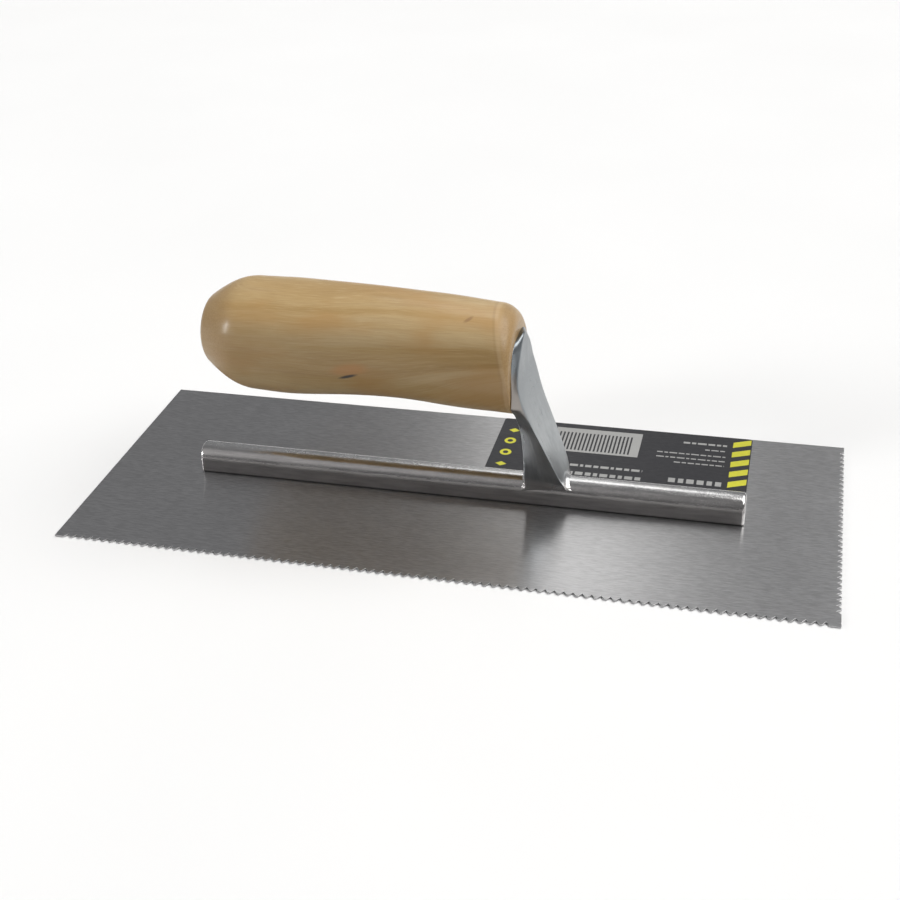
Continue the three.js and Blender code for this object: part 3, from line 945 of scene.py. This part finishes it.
def zinc_steel():
    """Zinc-plated fixings with faint turning marks and a slightly mottled plating."""
    material, tree, shader = new_material("zinc_plated_steel", Metallic=1.0)
    place = object_place(tree)
    mottle = noise(tree, place, scale=900, detail=3, rough=0.6)
    colour = ramp(tree, mottle, [(0.3, (0.55, 0.555, 0.56)), (0.7, (0.7, 0.705, 0.7))])
    wear(tree, shader, "Base Color", colour)
    wear(tree, shader, "Roughness", remap(tree, mottle, 0.3, 0.7, 0.24, 0.38))
    wear(tree, shader, "Normal", bump(tree, mottle, 0.00003, 0.3))
    return material


def floor_material():
    material, tree, shader = new_material("pale_floor", Roughness=0.75)
    place = object_place(tree)
    tone = noise(tree, place, scale=6, detail=2)
    wear(tree, shader, "Base Color", ramp(tree, tone, [(0.3, (0.87, 0.87, 0.87)), (0.7, (0.89, 0.89, 0.89))]))
    return material


def paint(obj, material):
    obj.data.materials.clear()
    obj.data.materials.append(material)


# ---------------------------------------------------------------- stage, light and camera

FLOOR_HALF_SIZE = 6000
FLOOR_GAP = 0.2  # keeps the floor clear of the blade's underside


def make_floor():
    bm = bmesh.new()
    bmesh.ops.create_grid(bm, x_segments=1, y_segments=1, size=FLOOR_HALF_SIZE)
    floor = object_from("floor", bm)
    floor.location.z = -FLOOR_GAP * MM
    paint(floor, floor_material())


# each light panel of the room: azimuth from +Y towards +X, elevation, half width, half height
# (degrees), softness of its rim and how much light it adds
PANELS = [
    (-10.5, 32, 3.5, 16, 0.35, (1.2, 1.19, 1.16)),
    (-13.2, 60, 7.5, 13, 0.25, (3.2, 3.17, 3.12)),
    (76, 60, 56, 31, 0.2, (3.76, 3.74, 3.68)),
    (-140, 44, 32, 24, 0.5, (0.24, 0.235, 0.235)),
    (-121, 19, 5.5, 9, 0.45, (22.0, 22.0, 22.0)),
]


# how bright the plain room is in front of the object and behind it
ROOM_FRONT = (0.14, 0.14, 0.142, 1)
ROOM_BACK = (0.29, 0.29, 0.295, 1)


def make_world():
    """A dim even studio room lit by a few soft panels."""
    world = bpy.data.worlds.new("studio")
    bpy.context.scene.world = world
    world.use_nodes = True
    tree = world.node_tree
    background = tree.nodes["Background"]
    direction = add(tree, "ShaderNodeTexCoord").outputs["Generated"]
    parts = split(tree, direction)
    azimuth = calc(tree, "ARCTAN2", parts["X"], parts["Y"])
    elevation = calc(tree, "ARCSINE", parts["Z"])
    depth = remap(tree, parts["Y"], -0.6, 0.5, 0, 1, smooth=True)
    colour = blend(tree, depth, ROOM_FRONT, ROOM_BACK)
    for panel_azimuth, panel_elevation, half_width, half_height, softness, light in PANELS:
        turn = calc(tree, "SUBTRACT", azimuth, math.radians(panel_azimuth))
        turn = calc(tree, "WRAP", turn, math.pi, -math.pi)
        rise = calc(tree, "SUBTRACT", elevation, math.radians(panel_elevation))
        across = squared_share(tree, turn, math.radians(half_width))
        upward = squared_share(tree, rise, math.radians(half_height))
        reach = calc(tree, "SQRT", calc(tree, "ADD", across, upward))
        share = remap(tree, reach, 1 + softness, 1 - softness, 0, 1, smooth=True)
        lit = blend(tree, 1.0, (*light, 1), share, kind="MULTIPLY")
        colour = blend(tree, 1.0, colour, lit, kind="ADD")
    tree.links.new(colour, background.inputs["Color"])


CAMERA_PLACE = Vector((114.8, -426.6, 280.5))
CAMERA_AZIMUTH = math.radians(15.51)
CAMERA_ELEVATION = math.radians(30.68)
CAMERA_ROLL = math.radians(2.66)
CAMERA_LENS = 55.28
CAMERA_SENSOR = 36


def make_camera():
    azimuth, elevation, roll = CAMERA_AZIMUTH, CAMERA_ELEVATION, CAMERA_ROLL
    forward = Vector((-math.sin(azimuth) * math.cos(elevation), math.cos(azimuth) * math.cos(elevation),
                      -math.sin(elevation)))
    level = Vector((math.cos(azimuth), math.sin(azimuth), 0))
    down = forward.cross(level)
    right = level * math.cos(roll) + down * math.sin(roll)
    below = down * math.cos(roll) - level * math.sin(roll)
    camera = bpy.data.cameras.new("camera")
    camera.lens = CAMERA_LENS
    camera.sensor_width = CAMERA_SENSOR
    camera.clip_start = 0.01
    camera.clip_end = 50
    obj = bpy.data.objects.new("camera", camera)
    axes = Matrix((right, -below, -forward)).transposed().to_4x4()
    obj.matrix_world = Matrix.Translation(CAMERA_PLACE * MM) @ axes
    bpy.context.scene.collection.objects.link(obj)
    bpy.context.scene.camera = obj


# ---------------------------------------------------------------- assembly

make_camera()
make_floor()
make_world()

pieces = [
    (make_blade(), brushed_steel()),
    (make_mounting(), cast_aluminium()),
    (make_handle(), varnished_wood()),
]
fixings = zinc_steel()
pieces += [(make_rivet(name), fixings) for name in rivet_names]
pieces += [(make_washer(), fixings), (make_bolt(), fixings)]
label_film, label_yellow, label_white = make_label()
pieces += [
    (label_film, printed_film("label_black_film", (0.012, 0.012, 0.016), (0.03, 0.03, 0.034))),
    (label_yellow, printed_film("label_yellow_ink", (0.62, 0.6, 0.03), (0.45, 0.43, 0.05))),
    (label_white, printed_film("label_white_ink", (0.36, 0.36, 0.352), (0.32, 0.32, 0.32))),
]

for piece, look in pieces:
    paint(piece, look)
    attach(piece, "root")

bpy.context.scene.view_settings.view_transform = "Standard"
